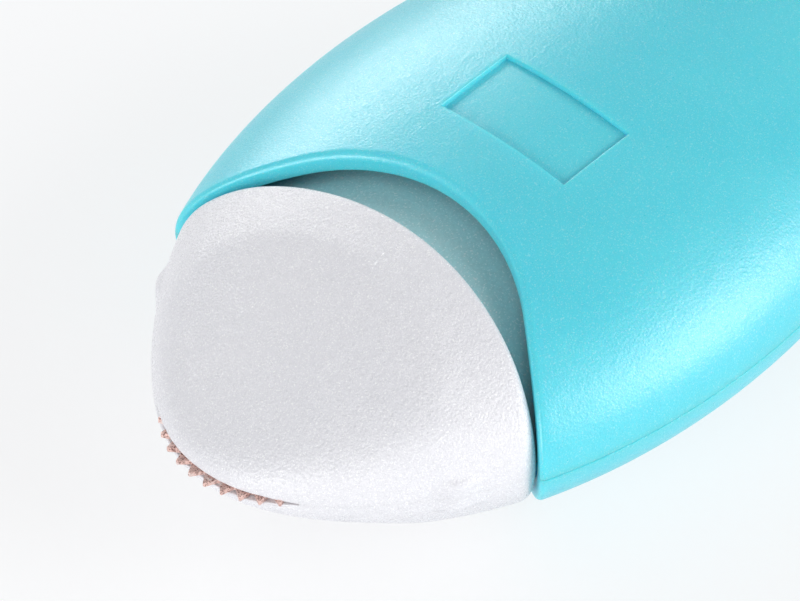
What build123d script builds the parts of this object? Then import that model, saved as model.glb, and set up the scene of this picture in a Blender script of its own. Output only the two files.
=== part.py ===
from build123d import *
import math
import os

# Chalk wheel marker, lying on its lower cheek with its nose towards -X and its tail towards +X.
# The origin is under the middle of the overall box, and both halves meet on the mid plane.

# Driving dimensions of the outer form
overall_length = 81.6      # wheel teeth to tail
half_width = 24.5          # semi-axes of the pebble that the handle and the nose share
half_thick = 12.0
tooth_lead = 0.2           # wheel teeth ahead of the front end of the pebble
rest_depth = 0.25          # depth of the flat on the lower cheek
overrun = 3.0              # how far every cutting body runs past what it cuts
press_gap = 0.02           # fixed fit, each side
running_gap = 0.05         # turning or sliding fit, each side
part_gap = 0.3             # between curved faces of different bodies

# Toothed wheel
wheel_radius = 10.0        # over the tooth tips
tooth_count = 38
tooth_depth = 1.0
tooth_base_width = 1.35
tooth_tip_width = 0.16
disc_thickness = 0.5
hub_radius = 3.6
hub_bore_radius = 1.0
spigot_radius = 2.4        # hub spigot that carries the disc
hub_thickness = 3.4
half_pitch = 180 / tooth_count
tiny_share = 0.001         # share of a size within which an edge counts as lying on a face

# Handle
handle_wall = 2.0
arch_apex = 19.95          # arch apex behind the wheel centre
arch_radius = 18.8
arch_turn = 38.9           # angle where the arch turns into a straight flank
lip_round = 0.8
lip_inner_round = 0.5
groove_depth = 0.12        # parting groove round the handle
groove_width = 0.16
plate_length = 8.0         # recess in the upper cheek, along the tool
plate_width = 13.5
plate_depth = 0.45
plate_corner = 0.35
plate_back = 0.7           # plate centre ahead of the middle of the pebble
rib_thickness = 1.5
front_rib_back = 3.5       # first cradle rib behind the arch apex
handle_boss_radius = 2.4
handle_pin_radius = 1.2
handle_pin_length = 3.0
side_pin_back = 4.4        # side locating pins behind the end cap
side_pin_edge = 8.0        # in from the widest point of the pebble
tail_pin_edge = 9.7        # tail pin in from the end of the tail

# Cartridge
nose_inset = 0.1           # nose below the handle's surface
flank_radius = 37.7        # plan radius of the nose flanks
tip_radius = 9.35          # plan radius of the nose tip, about the wheel centre
flank_inset = 0.975        # widest point of the nose inside that of the pebble
ridge_apex = 14.8          # rear edge of the nose behind the wheel centre
ridge_radius = 36.0
flank_round = 4.0          # where the flanks turn into the cheeks
flank_round_share = 1 / 3  # most that the rounding takes of half the thickness
ridge_round = 0.5
cartridge_wall = 1.5
neck_side_room = 4.5       # between the neck and the widest and highest points inside the handle
neck_top_room = 1.2
neck_start = 9.5           # behind the wheel centre
neck_end = 36.0
slot_height = 1.1
slot_radius = 10.5
nub_angle = 125            # place of a side nub along the flank
nub_radius = 3.0
nub_proud = 0.5
nub_height = 3.2
cartridge_boss_radius = 1.8
cartridge_pin_radius = 0.9
cartridge_pin_length = 2.0
front_pin_x = 12.8         # locating pins behind the wheel centre
front_pin_edge = 8.2       # in from the flank of the nose
rear_pin_x = 31.0
rear_pin_edge = 6.0        # in from the side of the neck
socket_extra = 0.3         # how much deeper each socket is than its pin

# Finger dish on each cheek of the nose
dish_rear = 11.5           # rear edge behind the wheel centre
dish_front = -8.0          # front edge, ahead of the wheel centre
dish_front_drop = 0.62     # below the pebble's surface there
dish_radius = 160.0        # hollow along the tool
dish_crown = 88.0          # crown across the tool
dish_reach = 6.0           # cutter runs past both ends of the dish

# Bushes, felts, powder and end cap
pin_half_length = 4.1
bush_flange_radius = 2.8
bush_flange = 0.5
bush_radius = 2.0
bush_length = 1.9
boss_radius = 3.3
axial_play = 0.1
felt_inner_radius = 5.6
felt_outer_radius = 7.4
felt_half_angle = 62
felt_gap = 0.1             # felt to disc face
felt_thickness = 0.95
powder_front = 15.2        # behind the wheel centre
powder_level = 1.5         # above the mid plane
powder_gap = 0.15
cap_flange = 1.5
cap_spigot = 2.5
cap_wall = 1.2
stopper_radius = 3.5
stopper_collar = 1.4       # wall round the filling hole inside the cap
stopper_head_radius = 4.4
stopper_head = 1.0
stopper_knob_radius = 1.6
stopper_knob = 2.0
stop_rib_gap = 0.1
stop_side_land = 4.0       # how far the stop rib reaches over the end cap
stop_window_room = 2.0     # round the head of the stopper
pin_chamfer = 0.2
ring_chamfer = 0.15
cap_round = 0.4
stopper_round = 0.3
knob_round = 0.5

# Places that follow from the driving dimensions
mid_height = half_thick - rest_depth
half_length = (overall_length - tooth_lead) / 2
wheel_x = -overall_length / 2 + wheel_radius * math.cos(math.radians(half_pitch))
envelope_x = overall_length / 2 - half_length
flank_y = flank_radius - half_width + flank_inset
flank_x = wheel_x + math.sqrt((flank_radius - tip_radius) ** 2 - flank_y ** 2)
ridge_x = wheel_x + ridge_apex - ridge_radius
neck_half_width = half_width - handle_wall - neck_side_room
neck_half_thick = half_thick - handle_wall - neck_top_room
neck_back = wheel_x + neck_end
front_rib_x = wheel_x + arch_apex + front_rib_back
cap_back = neck_back + cap_flange
half_disc = disc_thickness / 2
half_hub = hub_thickness / 2
bush_bottom = half_hub + axial_play
boss_bottom = bush_bottom + bush_flange
felt_bottom = half_disc + felt_gap
mid_plane = Plane.XY.offset(mid_height)
os.makedirs("parts", exist_ok=True)


def envelope(shrink=0):
    """The pebble that the handle and the nose share, made smaller by shrink on every side."""
    semi_y = half_width - shrink
    with BuildPart() as form:
        with BuildSketch() as profile:
            Ellipse(half_length - shrink, semi_y)
            split(bisect_by=Plane.XZ, keep=Keep.BOTTOM)
        revolve(axis=Axis.X)
        scale(by=(1, 1, (half_thick - shrink) / semi_y))
    return Pos(envelope_x, 0, mid_height) * form.part


def envelope_height(x_from_wheel):
    """Height of the pebble above the mid plane, on the long axis."""
    share = (wheel_x + x_from_wheel - envelope_x) / half_length
    return half_thick * math.sqrt(1 - share * share)


def nose_half_width(x_from_wheel):
    """Half the width of the nose between its flanks."""
    along = wheel_x + x_from_wheel - flank_x
    return math.sqrt(flank_radius ** 2 - along ** 2) - flank_y


def on_envelope(edge, shrink):
    """True for an edge that lies on the pebble of that size, and not in the mid plane."""
    point = edge @ 0.5
    along = (point.X - envelope_x) / (half_length - shrink)
    across = point.Y / (half_width - shrink)
    up = (point.Z - mid_height) / (half_thick - shrink)
    return abs(along ** 2 + across ** 2 + up ** 2 - 1) < tiny_share < abs(up)


def at_ridge(edge):
    """True for an edge at the rear end of the nose."""
    point = edge @ 0.5
    return math.hypot(point.X - ridge_x, point.Y) > ridge_radius * (1 - tiny_share)


def arch_space():
    """Everything ahead of the handle's arched lip."""
    centre_x = wheel_x + arch_apex - arch_radius
    with BuildPart() as space:
        with BuildSketch(mid_plane):
            with BuildLine():
                crown = CenterArc((centre_x, 0), arch_radius, -arch_turn, 2 * arch_turn)
                left = PolarLine(crown @ 1, half_width, angle=90 + arch_turn)
                right = PolarLine(crown @ 0, half_width, angle=-90 - arch_turn)
                front = -overall_length
                Polyline(left @ 1, (front, (left @ 1).Y), (front, (right @ 1).Y), right @ 1)
            make_face()
        extrude(amount=half_thick + overrun, both=True)
    return space.part


def nose_block(inset=0):
    """Plan form of the nose, full height, with its outline moved in by inset."""
    with BuildPart() as block:
        with BuildSketch(mid_plane) as outline:
            with Locations((flank_x, -flank_y)):
                Circle(flank_radius - inset)
            with Locations((flank_x, flank_y)):
                Circle(flank_radius - inset, mode=Mode.INTERSECT)
            with Locations((ridge_x, 0)):
                Circle(ridge_radius - inset, mode=Mode.INTERSECT)
            fillet(outline.vertices().sort_by(Axis.X)[0], radius=tip_radius - inset)
        extrude(amount=half_thick + overrun, both=True)
    return block.part


def dish_body(drop=0):
    """Cutter over the upper finger dish: hollow along the tool, crowned across it."""
    rear = Vector(wheel_x + dish_rear, envelope_height(dish_rear))
    front = Vector(wheel_x + dish_front, envelope_height(dish_front) - dish_front_drop)
    half_chord = (rear - front).length / 2
    tilt = math.atan2(rear.Y - front.Y, rear.X - front.X)
    middle = (rear + front) / 2
    sag = dish_radius - math.sqrt(dish_radius ** 2 - half_chord ** 2)
    along = (math.cos(tilt), 0, math.sin(tilt))
    origin = (middle.X, 0, mid_height + middle.Y)
    chord_plane = Plane(origin=origin, x_dir=along, z_dir=(0, -1, 0))
    reach = half_chord + dish_reach
    spread = math.degrees(math.asin(reach / (dish_radius + drop)))
    sweep = math.degrees(math.asin((half_width + overrun) / dish_crown))
    with BuildPart() as body:
        with BuildSketch(chord_plane):
            with BuildLine():
                centre = (0, dish_radius - sag)
                floor = CenterArc(centre, dish_radius + drop, -90 - spread, 2 * spread)
                roof = half_thick
                Polyline(floor @ 1, ((floor @ 1).X, roof), ((floor @ 0).X, roof), floor @ 0)
            make_face()
        axis_origin = chord_plane.from_local_coords((0, -sag - dish_crown, 0))
        revolve(axis=Axis(axis_origin, chord_plane.x_dir), revolution_arc=sweep)
        mirror(about=Plane.XZ)
    return body.part


def neck_body(inset, start, end):
    """Straight elliptical body along the neck, made smaller by inset."""
    with BuildPart() as body:
        with BuildSketch(Plane.YZ.offset(start)):
            with Locations((0, mid_height)):
                Ellipse(neck_half_width - inset, neck_half_thick - inset)
        extrude(amount=end - start)
    return body.part


def posts(places, radius):
    """Round posts through the mid plane, at places."""
    with BuildPart() as group:
        with BuildSketch(mid_plane):
            with Locations(*places):
                Circle(radius)
        extrude(amount=half_thick, both=True)
    return group.part


# Handle form, both halves together
with BuildPart() as rib_set:
    stop_start = cap_back + stop_rib_gap
    cradle = (neck_half_width + part_gap, neck_half_thick + part_gap)
    stop_window = (neck_half_width - stop_side_land, stopper_head_radius + stop_window_room)
    stations = [
        (front_rib_x, cradle),
        (neck_back - rib_thickness * 2, cradle),
        (stop_start, stop_window),
    ]
    for station, (window_y, window_z) in stations:
        with BuildSketch(Plane.YZ.offset(station)):
            with Locations((0, mid_height)):
                Ellipse(half_width, half_thick)
                Ellipse(window_y, window_z, mode=Mode.SUBTRACT)
        extrude(amount=rib_thickness)

side_pin_y = half_width - side_pin_edge
handle_pin_places = [
    (cap_back + side_pin_back, side_pin_y),
    (cap_back + side_pin_back, -side_pin_y),
    (overall_length / 2 - tail_pin_edge, 0),
]


with BuildPart() as handle_hollow:
    add(envelope(handle_wall))
    add(rib_set.part, mode=Mode.SUBTRACT)
    add(posts(handle_pin_places, handle_boss_radius), mode=Mode.SUBTRACT)

with BuildPart() as handle_form:
    add(envelope())
    add(handle_hollow.part, mode=Mode.SUBTRACT)
    add(arch_space(), mode=Mode.SUBTRACT)
    lip_edges = handle_form.edges().filter_by(lambda edge: (edge @ 0.5).X < front_rib_x)
    fillet(lip_edges.filter_by(lambda edge: on_envelope(edge, 0)), radius=lip_round)
    lip_edges = handle_form.edges().filter_by(lambda edge: (edge @ 0.5).X < front_rib_x)
    fillet(lip_edges.filter_by(lambda edge: on_envelope(edge, handle_wall)), radius=lip_inner_round)

with BuildPart() as groove_ring:
    with BuildSketch(mid_plane):
        with Locations((envelope_x, 0)):
            Ellipse(half_length + overrun, half_width + overrun)
            Ellipse(half_length - groove_depth, half_width - groove_depth, mode=Mode.SUBTRACT)
    extrude(amount=groove_width / 2, both=True)

with BuildPart() as plate_recess:
    with BuildSketch(mid_plane):
        with Locations((envelope_x - plate_back, 0)):
            RectangleRounded(plate_length, plate_width, plate_corner)
    extrude(amount=half_thick + overrun)
    add(envelope(plate_depth), mode=Mode.SUBTRACT)

# Upper half of the handle, with the locating pins and the plate recess
with BuildPart() as handle_top_shell:
    add(handle_form.part)
    add(groove_ring.part, mode=Mode.SUBTRACT)
    split(bisect_by=mid_plane, keep=Keep.TOP)
    add(plate_recess.part, mode=Mode.SUBTRACT)
    with BuildSketch(mid_plane):
        with Locations(*handle_pin_places):
            Circle(handle_pin_radius)
    extrude(amount=-handle_pin_length)

# Lower half of the handle, with the sockets and the flat that it rests on
with BuildPart() as handle_bottom_shell:
    add(handle_form.part)
    add(groove_ring.part, mode=Mode.SUBTRACT)
    split(bisect_by=mid_plane, keep=Keep.BOTTOM)
    split(bisect_by=Plane.XY, keep=Keep.TOP)
    with BuildSketch(mid_plane):
        with Locations(*handle_pin_places):
            Circle(handle_pin_radius + running_gap)
    extrude(amount=-handle_pin_length - socket_extra, mode=Mode.SUBTRACT)

# Cartridge form, both halves together
upper_dish = dish_body()
lower_dish = mirror(upper_dish, about=mid_plane)
upper_roof = dish_body(cartridge_wall)
lower_roof = mirror(upper_roof, about=mid_plane)

with BuildPart() as nose_form:
    add(nose_block())
    add(envelope(nose_inset), mode=Mode.INTERSECT)
    cheek_edges = nose_form.edges().filter_by(lambda edge: on_envelope(edge, nose_inset))
    cheek_round = min(flank_round, flank_round_share * half_thick)
    fillet(cheek_edges.filter_by(lambda edge: not at_ridge(edge)), radius=cheek_round)
    fillet(nose_form.edges().filter_by(at_ridge), radius=ridge_round)
    add(upper_dish, mode=Mode.SUBTRACT)
    add(lower_dish, mode=Mode.SUBTRACT)

with BuildPart() as nub_form:
    reach = flank_radius + nub_proud - nub_radius
    nub_x = flank_x + reach * math.cos(math.radians(nub_angle))
    nub_y = -flank_y + reach * math.sin(math.radians(nub_angle))
    with BuildSketch(mid_plane):
        with Locations((nub_x, nub_y), (nub_x, -nub_y)):
            Circle(nub_radius)
    extrude(amount=nub_height / 2, both=True)
    fillet(nub_form.edges().filter_by(GeomType.CIRCLE), radius=nub_proud)

front_pin_y = nose_half_width(front_pin_x) - front_pin_edge
rear_pin_y = neck_half_width - rear_pin_edge
cartridge_pin_places = [
    (wheel_x + front_pin_x, front_pin_y),
    (wheel_x + front_pin_x, -front_pin_y),
    (wheel_x + rear_pin_x, rear_pin_y),
    (wheel_x + rear_pin_x, -rear_pin_y),
]


def felt_arc(inner, outer, half_angle):
    """Closed ring sector round the wheel centre, opening towards the nose."""
    first = 180 - half_angle
    with BuildLine() as line:
        inside = CenterArc((wheel_x, 0), inner, first, 2 * half_angle)
        outside = CenterArc((wheel_x, 0), outer, first, 2 * half_angle)
        Line(inside @ 0, outside @ 0)
        Line(inside @ 1, outside @ 1)
    return make_face(line.edges(), mode=Mode.PRIVATE)


with BuildPart() as seat_set:
    with BuildSketch(mid_plane.offset(boss_bottom)):
        with Locations((wheel_x, 0)):
            Circle(boss_radius)
    extrude(amount=half_thick)
    with BuildSketch(mid_plane.offset(felt_bottom + felt_thickness)):
        add(felt_arc(felt_inner_radius, felt_outer_radius, felt_half_angle))
    extrude(amount=half_thick)
    mirror(about=mid_plane)
    add(posts(cartridge_pin_places, cartridge_boss_radius))

with BuildPart() as cartridge_hollow:
    add(nose_block(cartridge_wall))
    add(envelope(nose_inset + cartridge_wall), mode=Mode.INTERSECT)
    add(upper_roof, mode=Mode.SUBTRACT)
    add(lower_roof, mode=Mode.SUBTRACT)
    add(neck_body(cartridge_wall, wheel_x + neck_start, neck_back + overrun))
    add(seat_set.part, mode=Mode.SUBTRACT)

with BuildPart() as wheel_room:
    with BuildSketch(mid_plane):
        with Locations((wheel_x, 0)):
            Circle(slot_radius)
    extrude(amount=slot_height / 2, both=True)
    with BuildSketch(mid_plane):
        with Locations((wheel_x, 0)):
            Circle(bush_radius + press_gap)
    extrude(amount=boss_bottom + bush_length + press_gap, both=True)

with BuildPart() as cartridge_form:
    add(nose_form.part)
    add(nub_form.part)
    add(neck_body(0, wheel_x + neck_start, neck_back))
    add(cartridge_hollow.part, mode=Mode.SUBTRACT)
    add(wheel_room.part, mode=Mode.SUBTRACT)

# Upper half of the cartridge, with the locating pins
with BuildPart() as cartridge_top_shell:
    add(cartridge_form.part)
    split(bisect_by=mid_plane, keep=Keep.TOP)
    with BuildSketch(mid_plane):
        with Locations(*cartridge_pin_places):
            Circle(cartridge_pin_radius)
    extrude(amount=-cartridge_pin_length)

# Lower half of the cartridge, with the sockets
with BuildPart() as cartridge_bottom_shell:
    add(cartridge_form.part)
    split(bisect_by=mid_plane, keep=Keep.BOTTOM)
    with BuildSketch(mid_plane):
        with Locations(*cartridge_pin_places):
            Circle(cartridge_pin_radius + running_gap)
    extrude(amount=-cartridge_pin_length - socket_extra, mode=Mode.SUBTRACT)

# Toothed disc
with BuildPart() as chalk_wheel:
    root_radius = wheel_radius - tooth_depth
    with BuildSketch(mid_plane.offset(-half_disc)):
        with Locations((wheel_x, 0)):
            Circle(root_radius)
            with PolarLocations(0, tooth_count, start_angle=180 + half_pitch):
                Polygon(
                    (root_radius - tooth_depth / 2, -tooth_base_width / 2),
                    (root_radius, -tooth_base_width / 2),
                    (wheel_radius, -tooth_tip_width / 2),
                    (wheel_radius, tooth_tip_width / 2),
                    (root_radius, tooth_base_width / 2),
                    (root_radius - tooth_depth / 2, tooth_base_width / 2),
                    align=None,
                )
            Circle(spigot_radius + press_gap, mode=Mode.SUBTRACT)
    extrude(amount=disc_thickness)

# Hub with the spigot that carries the disc
with BuildPart() as wheel_hub:
    with BuildSketch(mid_plane.offset(-half_hub)):
        with Locations((wheel_x, 0)):
            Circle(hub_radius)
    extrude(amount=half_hub - half_disc)
    with BuildSketch(mid_plane.offset(-half_hub)):
        with Locations((wheel_x, 0)):
            Circle(spigot_radius)
    extrude(amount=hub_thickness)
    with BuildSketch(mid_plane):
        with Locations((wheel_x, 0)):
            Circle(hub_bore_radius + press_gap)
    extrude(amount=half_hub + overrun, both=True, mode=Mode.SUBTRACT)

# Ring that clamps the disc on the hub
with BuildPart() as hub_ring:
    with BuildSketch(mid_plane.offset(half_disc)):
        with Locations((wheel_x, 0)):
            Circle(hub_radius)
            Circle(spigot_radius + press_gap, mode=Mode.SUBTRACT)
    extrude(amount=half_hub - half_disc)
    ring_rim = hub_ring.edges().filter_by(GeomType.CIRCLE).group_by(Axis.Z)[-1]
    chamfer(ring_rim.sort_by(SortBy.RADIUS)[-1], length=ring_chamfer)

# Pin that turns with the hub
with BuildPart() as axle_pin:
    with BuildSketch(mid_plane):
        with Locations((wheel_x, 0)):
            Circle(hub_bore_radius)
    extrude(amount=pin_half_length, both=True)
    chamfer(axle_pin.edges().filter_by(GeomType.CIRCLE), length=pin_chamfer)

# Flanged bush in the upper half
with BuildPart() as axle_bush_top:
    with BuildSketch(mid_plane.offset(bush_bottom)):
        with Locations((wheel_x, 0)):
            Circle(bush_flange_radius)
    extrude(amount=bush_flange)
    with BuildSketch(mid_plane.offset(boss_bottom)):
        with Locations((wheel_x, 0)):
            Circle(bush_radius)
    extrude(amount=bush_length)
    with BuildSketch(mid_plane):
        with Locations((wheel_x, 0)):
            Circle(hub_bore_radius + running_gap)
    extrude(amount=boss_bottom + bush_length + overrun, mode=Mode.SUBTRACT)

# Flanged bush in the lower half
with BuildPart() as axle_bush_bottom:
    add(mirror(axle_bush_top.part, about=mid_plane))

# Felt arcs that wipe the faces of the disc
with BuildPart() as wiper_felt_top:
    with BuildSketch(mid_plane.offset(felt_bottom)):
        add(felt_arc(felt_inner_radius, felt_outer_radius, felt_half_angle))
    extrude(amount=felt_thickness)

with BuildPart() as wiper_felt_bottom:
    add(mirror(wiper_felt_top.part, about=mid_plane))

# Powder as it lies in the neck
with BuildPart() as chalk_charge:
    powder_back = neck_back - cap_spigot - powder_gap
    add(neck_body(cartridge_wall + powder_gap, wheel_x + powder_front, powder_back))
    add(posts(cartridge_pin_places, cartridge_boss_radius + powder_gap), mode=Mode.SUBTRACT)
    split(bisect_by=mid_plane.offset(powder_level), keep=Keep.BOTTOM)

# Cap over the rear end of the neck, with the filling hole
with BuildPart() as cartridge_end_cap:
    add(neck_body(0, neck_back, cap_back))
    fillet(cartridge_end_cap.edges().group_by(Axis.X)[-1], radius=cap_round)
    spigot_inset = cartridge_wall + running_gap
    add(neck_body(spigot_inset, neck_back - cap_spigot, neck_back))
    cap_room = spigot_inset + cap_wall
    add(neck_body(cap_room, neck_back - cap_spigot, neck_back), mode=Mode.SUBTRACT)
    with BuildSketch(Plane.YZ.offset(neck_back - cap_spigot)):
        with Locations((0, mid_height)):
            Circle(stopper_radius + stopper_collar)
    extrude(amount=cap_spigot)
    with BuildSketch(Plane.YZ.offset(neck_back - cap_spigot)):
        with Locations((0, mid_height)):
            Circle(stopper_radius + running_gap)
    extrude(amount=cap_spigot + cap_flange, mode=Mode.SUBTRACT)

# Soft stopper with its pull knob
with BuildPart() as filler_stopper:
    with BuildSketch(Plane.YZ.offset(neck_back - cap_spigot)):
        with Locations((0, mid_height)):
            Circle(stopper_radius)
    extrude(amount=cap_spigot + cap_flange)
    with BuildSketch(Plane.YZ.offset(cap_back)):
        with Locations((0, mid_height)):
            Circle(stopper_head_radius)
    extrude(amount=stopper_head)
    fillet(filler_stopper.edges().group_by(Axis.X)[-1], radius=stopper_round)
    with BuildSketch(Plane.YZ.offset(cap_back + stopper_head)):
        with Locations((0, mid_height)):
            Circle(stopper_knob_radius)
    extrude(amount=stopper_knob)
    fillet(filler_stopper.edges().group_by(Axis.X)[-1], radius=knob_round)

pieces = {
    "handle_top_shell": handle_top_shell,
    "handle_bottom_shell": handle_bottom_shell,
    "cartridge_top_shell": cartridge_top_shell,
    "cartridge_bottom_shell": cartridge_bottom_shell,
    "cartridge_end_cap": cartridge_end_cap,
    "filler_stopper": filler_stopper,
    "chalk_charge": chalk_charge,
    "chalk_wheel": chalk_wheel,
    "wheel_hub": wheel_hub,
    "hub_ring": hub_ring,
    "axle_pin": axle_pin,
    "axle_bush_top": axle_bush_top,
    "axle_bush_bottom": axle_bush_bottom,
    "wiper_felt_top": wiper_felt_top,
    "wiper_felt_bottom": wiper_felt_bottom,
}
for piece_name, piece in pieces.items():
    piece.part.label = piece_name
    export_step(piece.part, f"parts/{piece_name}.step")
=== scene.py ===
"""Chalk wheel marker, lying on its lower cheek with its nose towards the camera.

Sizes are in millimetres and turned into metres where a mesh is placed.
"""

from __future__ import annotations

import logging
import math
from dataclasses import dataclass, field
from enum import Enum

import bpy
import numpy as np
from mathutils import Matrix, Vector

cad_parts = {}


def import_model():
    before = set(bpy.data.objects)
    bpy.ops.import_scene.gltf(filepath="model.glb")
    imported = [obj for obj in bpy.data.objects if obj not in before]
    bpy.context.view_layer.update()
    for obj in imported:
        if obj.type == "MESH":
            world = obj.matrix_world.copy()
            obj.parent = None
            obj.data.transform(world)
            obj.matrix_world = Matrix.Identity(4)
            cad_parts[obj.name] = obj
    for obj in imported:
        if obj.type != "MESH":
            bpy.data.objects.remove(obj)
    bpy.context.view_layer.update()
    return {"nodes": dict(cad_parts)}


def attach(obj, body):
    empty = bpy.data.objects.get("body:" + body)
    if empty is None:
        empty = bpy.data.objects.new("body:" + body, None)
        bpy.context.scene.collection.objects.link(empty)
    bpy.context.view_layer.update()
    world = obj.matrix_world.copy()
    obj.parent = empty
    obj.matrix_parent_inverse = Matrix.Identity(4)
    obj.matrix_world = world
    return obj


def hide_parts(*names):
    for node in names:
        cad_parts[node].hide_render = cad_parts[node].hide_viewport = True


Object = bpy.types.Object
Material = bpy.types.Material
Socket = bpy.types.NodeSocket
Array = np.ndarray

MM = 0.001
WELD = 0.0005
log = logging.getLogger("chalk_wheel_marker")


class Half(Enum):
    """Which side of the mid plane a moulded half lies on."""

    UPPER = 1
    LOWER = -1


class Part(Enum):
    """What is selected in edit mode."""

    POINTS = 0
    EDGES = 1
    FACES = 2


# ---------------------------------------------------------------- bench work


def put_down() -> None:
    """Leave edit mode and deselect every object."""
    held = bpy.context.object
    if held is not None and held.mode != "OBJECT":
        bpy.ops.object.mode_set(mode="OBJECT")
    bpy.ops.object.select_all(action="DESELECT")


def hold(piece: Object) -> None:
    """Make piece the only selected object, and the active one.

    Args:
        piece: object to select.
    """
    put_down()
    piece.select_set(True)
    bpy.context.view_layer.objects.active = piece


def open_all(piece: Object) -> None:
    """Enter edit mode on piece with everything selected.

    Args:
        piece: mesh object to work on.
    """
    hold(piece)
    bpy.ops.object.mode_set(mode="EDIT")
    bpy.ops.mesh.select_all(action="SELECT")


def mark(piece: Object, part: Part, chosen: Array) -> None:
    """Select just the chosen points, edges or faces, and enter edit mode.

    Args:
        piece: mesh object to work on.
        part: what chosen counts.
        chosen: one truth value for each point, edge or face.
    """
    hold(piece)
    mesh = piece.data
    groups = (mesh.vertices, mesh.edges, mesh.polygons)
    for group in groups:
        group.foreach_set("select", np.zeros(len(group), dtype=bool))
    groups[part.value].foreach_set("select", chosen)
    bpy.context.tool_settings.mesh_select_mode = [part is kind for kind in Part]
    bpy.ops.object.mode_set(mode="EDIT")


def points_of(piece: Object) -> Array:
    """Places of the points of piece, in millimetres.

    Args:
        piece: mesh object to read.

    Returns:
        One row of three for each point.
    """
    flat = np.empty(len(piece.data.vertices) * 3)
    piece.data.vertices.foreach_get("co", flat)
    return flat.reshape(-1, 3) / MM


def move_points(piece: Object, places: Array) -> None:
    """Put the points of piece at places, in millimetres."""
    piece.data.vertices.foreach_set("co", (places * MM).ravel())
    piece.data.update()


def face_centres(piece: Object) -> Array:
    """Centres of the faces of piece, in millimetres.

    Args:
        piece: mesh object to read.

    Returns:
        One row of three for each face.
    """
    flat = np.empty(len(piece.data.polygons) * 3)
    piece.data.polygons.foreach_get("center", flat)
    return flat.reshape(-1, 3) / MM


def edge_ends(piece: Object) -> tuple[Array, Array]:
    """Both end points of each edge of piece, in millimetres.

    Args:
        piece: mesh object to read.

    Returns:
        The first and the second end of each edge.
    """
    pairs = np.empty(len(piece.data.edges) * 2, dtype=int)
    piece.data.edges.foreach_get("vertices", pairs)
    places = points_of(piece)
    return places[pairs[0::2]], places[pairs[1::2]]


def bent_grid(name: str, places: Array) -> Object:
    """Add a grid and bend it onto places.

    Args:
        name: name of the new object.
        places: rows by columns by three, in millimetres.

    Returns:
        The new mesh object, open at its four sides.
    """
    rows, columns = places.shape[:2]
    put_down()
    bpy.ops.mesh.primitive_grid_add(x_subdivisions=columns - 1, y_subdivisions=rows - 1, size=1)
    piece = bpy.context.object
    piece.name = piece.data.name = name
    flat = points_of(piece) * MM
    column = np.rint((flat[:, 0] + 0.5) * (columns - 1)).astype(int)
    row = np.rint((flat[:, 1] + 0.5) * (rows - 1)).astype(int)
    move_points(piece, places[row, column])
    return piece


def weld(piece: Object) -> None:
    """Merge the points of piece that meet.

    Args:
        piece: mesh object to work on.
    """
    open_all(piece)
    bpy.ops.mesh.remove_doubles(threshold=WELD * MM)
    put_down()


def face_out(piece: Object) -> None:
    """Turn all faces of a closed piece outwards.

    Args:
        piece: mesh object to work on.
    """
    open_all(piece)
    bpy.ops.mesh.normals_make_consistent(inside=False)
    put_down()


def close_rims(piece: Object) -> None:
    """Fill every open rim of piece with one flat face.

    Args:
        piece: mesh object to work on.
    """
    hold(piece)
    bpy.context.tool_settings.mesh_select_mode = (False, True, False)
    bpy.ops.object.mode_set(mode="EDIT")
    bpy.ops.mesh.select_all(action="DESELECT")
    bpy.ops.mesh.select_non_manifold(
        extend=False, use_wire=False, use_boundary=True, use_multi_face=False,
        use_non_contiguous=False, use_verts=False,
    )
    bpy.ops.mesh.edge_face_add()
    put_down()


def seal(piece: Object) -> None:
    """Make a bent grid one closed piece that faces outwards.

    Args:
        piece: mesh object to work on.
    """
    weld(piece)
    close_rims(piece)
    face_out(piece)


def join(base: Object, *others: Object) -> None:
    """Join others into base.

    Args:
        base: object that takes the others in.
        others: objects that go into it.
    """
    hold(base)
    for other in others:
        other.select_set(True)
    bpy.ops.object.join()


def carve(piece: Object, cutter: Object) -> None:
    """Take cutter out of piece, and delete it.

    Args:
        piece: closed mesh to cut.
        cutter: closed mesh to cut with.
    """
    hold(piece)
    cut = piece.modifiers.new("cut", "BOOLEAN")
    cut.operation = "DIFFERENCE"
    cut.solver = "EXACT"
    cut.object = cutter
    bpy.ops.object.modifier_apply(modifier=cut.name)
    bpy.data.objects.remove(cutter)


def smooth(piece: Object, angle: float) -> None:
    """Shade piece smooth, except where faces meet at more than angle degrees.

    Args:
        piece: mesh object to work on.
        angle: sharpest turn that is shaded smooth, in degrees.
    """
    hold(piece)
    bpy.ops.object.shade_smooth_by_angle(angle=math.radians(angle))
    put_down()


def settle(piece: Object) -> None:
    """Move the place of piece into its mesh.

    Args:
        piece: mesh object to work on.
    """
    hold(piece)
    bpy.ops.object.transform_apply(location=True, rotation=True, scale=True)
    put_down()


def drum(
    name: str,
    radius: float,
    bottom: float,
    top: float,
    centre: tuple[float, float],
    sides: int,
    ends: str = "NGON",
) -> Object:
    """Add a plain upright drum that is shaped or cut further.

    Args:
        name: name of the new object.
        radius: radius in millimetres.
        bottom: height of its lower face.
        top: height of its upper face.
        centre: place of its axis in plan.
        sides: number of sides.
        ends: how its ends are filled.

    Returns:
        The new object, with its place in its mesh.
    """
    put_down()
    bpy.ops.mesh.primitive_cylinder_add(
        vertices=sides,
        end_fill_type=ends,
        radius=radius * MM,
        depth=(top - bottom) * MM,
        location=(centre[0] * MM, centre[1] * MM, (top + bottom) / 2 * MM),
    )
    piece = bpy.context.object
    piece.name = piece.data.name = name
    settle(piece)
    return piece


def oval(x: float, wide: float, high: float, count: int) -> Array:
    """Upper half of an upright oval.

    Args:
        x: place along the tool.
        wide: half its width.
        high: half its height.
        count: number of places on it.

    Returns:
        Its places, from one end to the other.
    """
    turn = np.linspace(0, math.pi, count)
    return np.column_stack([np.full(count, x), np.cos(turn) * wide, np.sin(turn) * high])


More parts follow.
